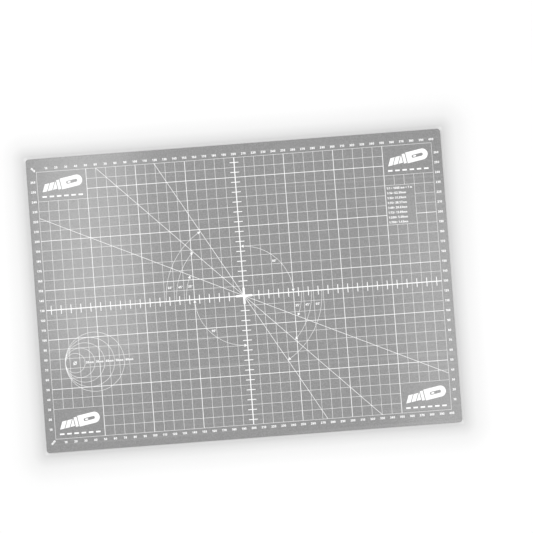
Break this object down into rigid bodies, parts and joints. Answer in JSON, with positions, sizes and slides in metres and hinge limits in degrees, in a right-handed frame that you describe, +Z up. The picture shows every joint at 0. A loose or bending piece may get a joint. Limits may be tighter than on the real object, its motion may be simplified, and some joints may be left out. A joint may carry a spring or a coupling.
{
  "type": "self healing cutting mat",
  "caption": "Flat rectangular self healing cutting mat with rounded corners, printed on both faces with a millimetre grid, rulers, centre axes, angle guides and circle templates.",
  "frame": {"origin": "middle of the underside, on the plane the mat lies on", "axes": "+X along the long side towards the right of the front artwork, +Y along the short side towards its top, +Z up out of the front face"},
  "size_m": [0.42, 0.297, 0.003],
  "materials": {
    "front_skin": "fine matte embossed vinyl, mid grey",
    "back_skin": "fine matte embossed vinyl, light grey",
    "soft_ply": "soft vinyl, cut edge",
    "stiff_core": "stiff translucent plastic, cut edge",
    "front_ink": "white screen-printed ink",
    "back_ink": "black screen-printed ink"
  },
  "bodies": {
    "root": {"front_skin": "front_skin", "front_soft_ply": "soft_ply", "stiff_core": "stiff_core", "back_soft_ply": "soft_ply", "back_skin": "back_skin", "front_border_frame_ink": "front_ink", "front_centre_axes_ink": "front_ink", "front_angle_lines_ink": "front_ink", "front_angle_arcs_ink": "front_ink", "front_angle_labels_ink": "front_ink", "front_circle_template_ink": "front_ink", "front_circle_labels_ink": "front_ink", "front_bold_grid_ink": "front_ink", "front_fine_grid_ink": "front_ink", "front_top_numerals_ink": "front_ink", "front_bottom_numerals_ink": "front_ink", "front_left_numerals_ink": "front_ink", "front_right_numerals_ink": "front_ink", "front_unit_marks_ink": "front_ink", "front_scale_table_ink": "front_ink", "front_corner_emblems_ink": "front_ink", "back_border_frame_ink": "back_ink", "back_centre_axes_ink": "back_ink", "back_angle_lines_ink": "back_ink", "back_angle_arcs_ink": "back_ink", "back_angle_labels_ink": "back_ink", "back_circle_template_ink": "back_ink", "back_circle_labels_ink": "back_ink", "back_bold_grid_ink": "back_ink", "back_fine_grid_ink": "back_ink", "back_top_numerals_ink": "back_ink", "back_bottom_numerals_ink": "back_ink", "back_left_numerals_ink": "back_ink", "back_right_numerals_ink": "back_ink", "back_unit_marks_ink": "back_ink", "back_scale_table_ink": "back_ink", "back_corner_emblems_ink": "back_ink"}
  },
  "joints": []
}
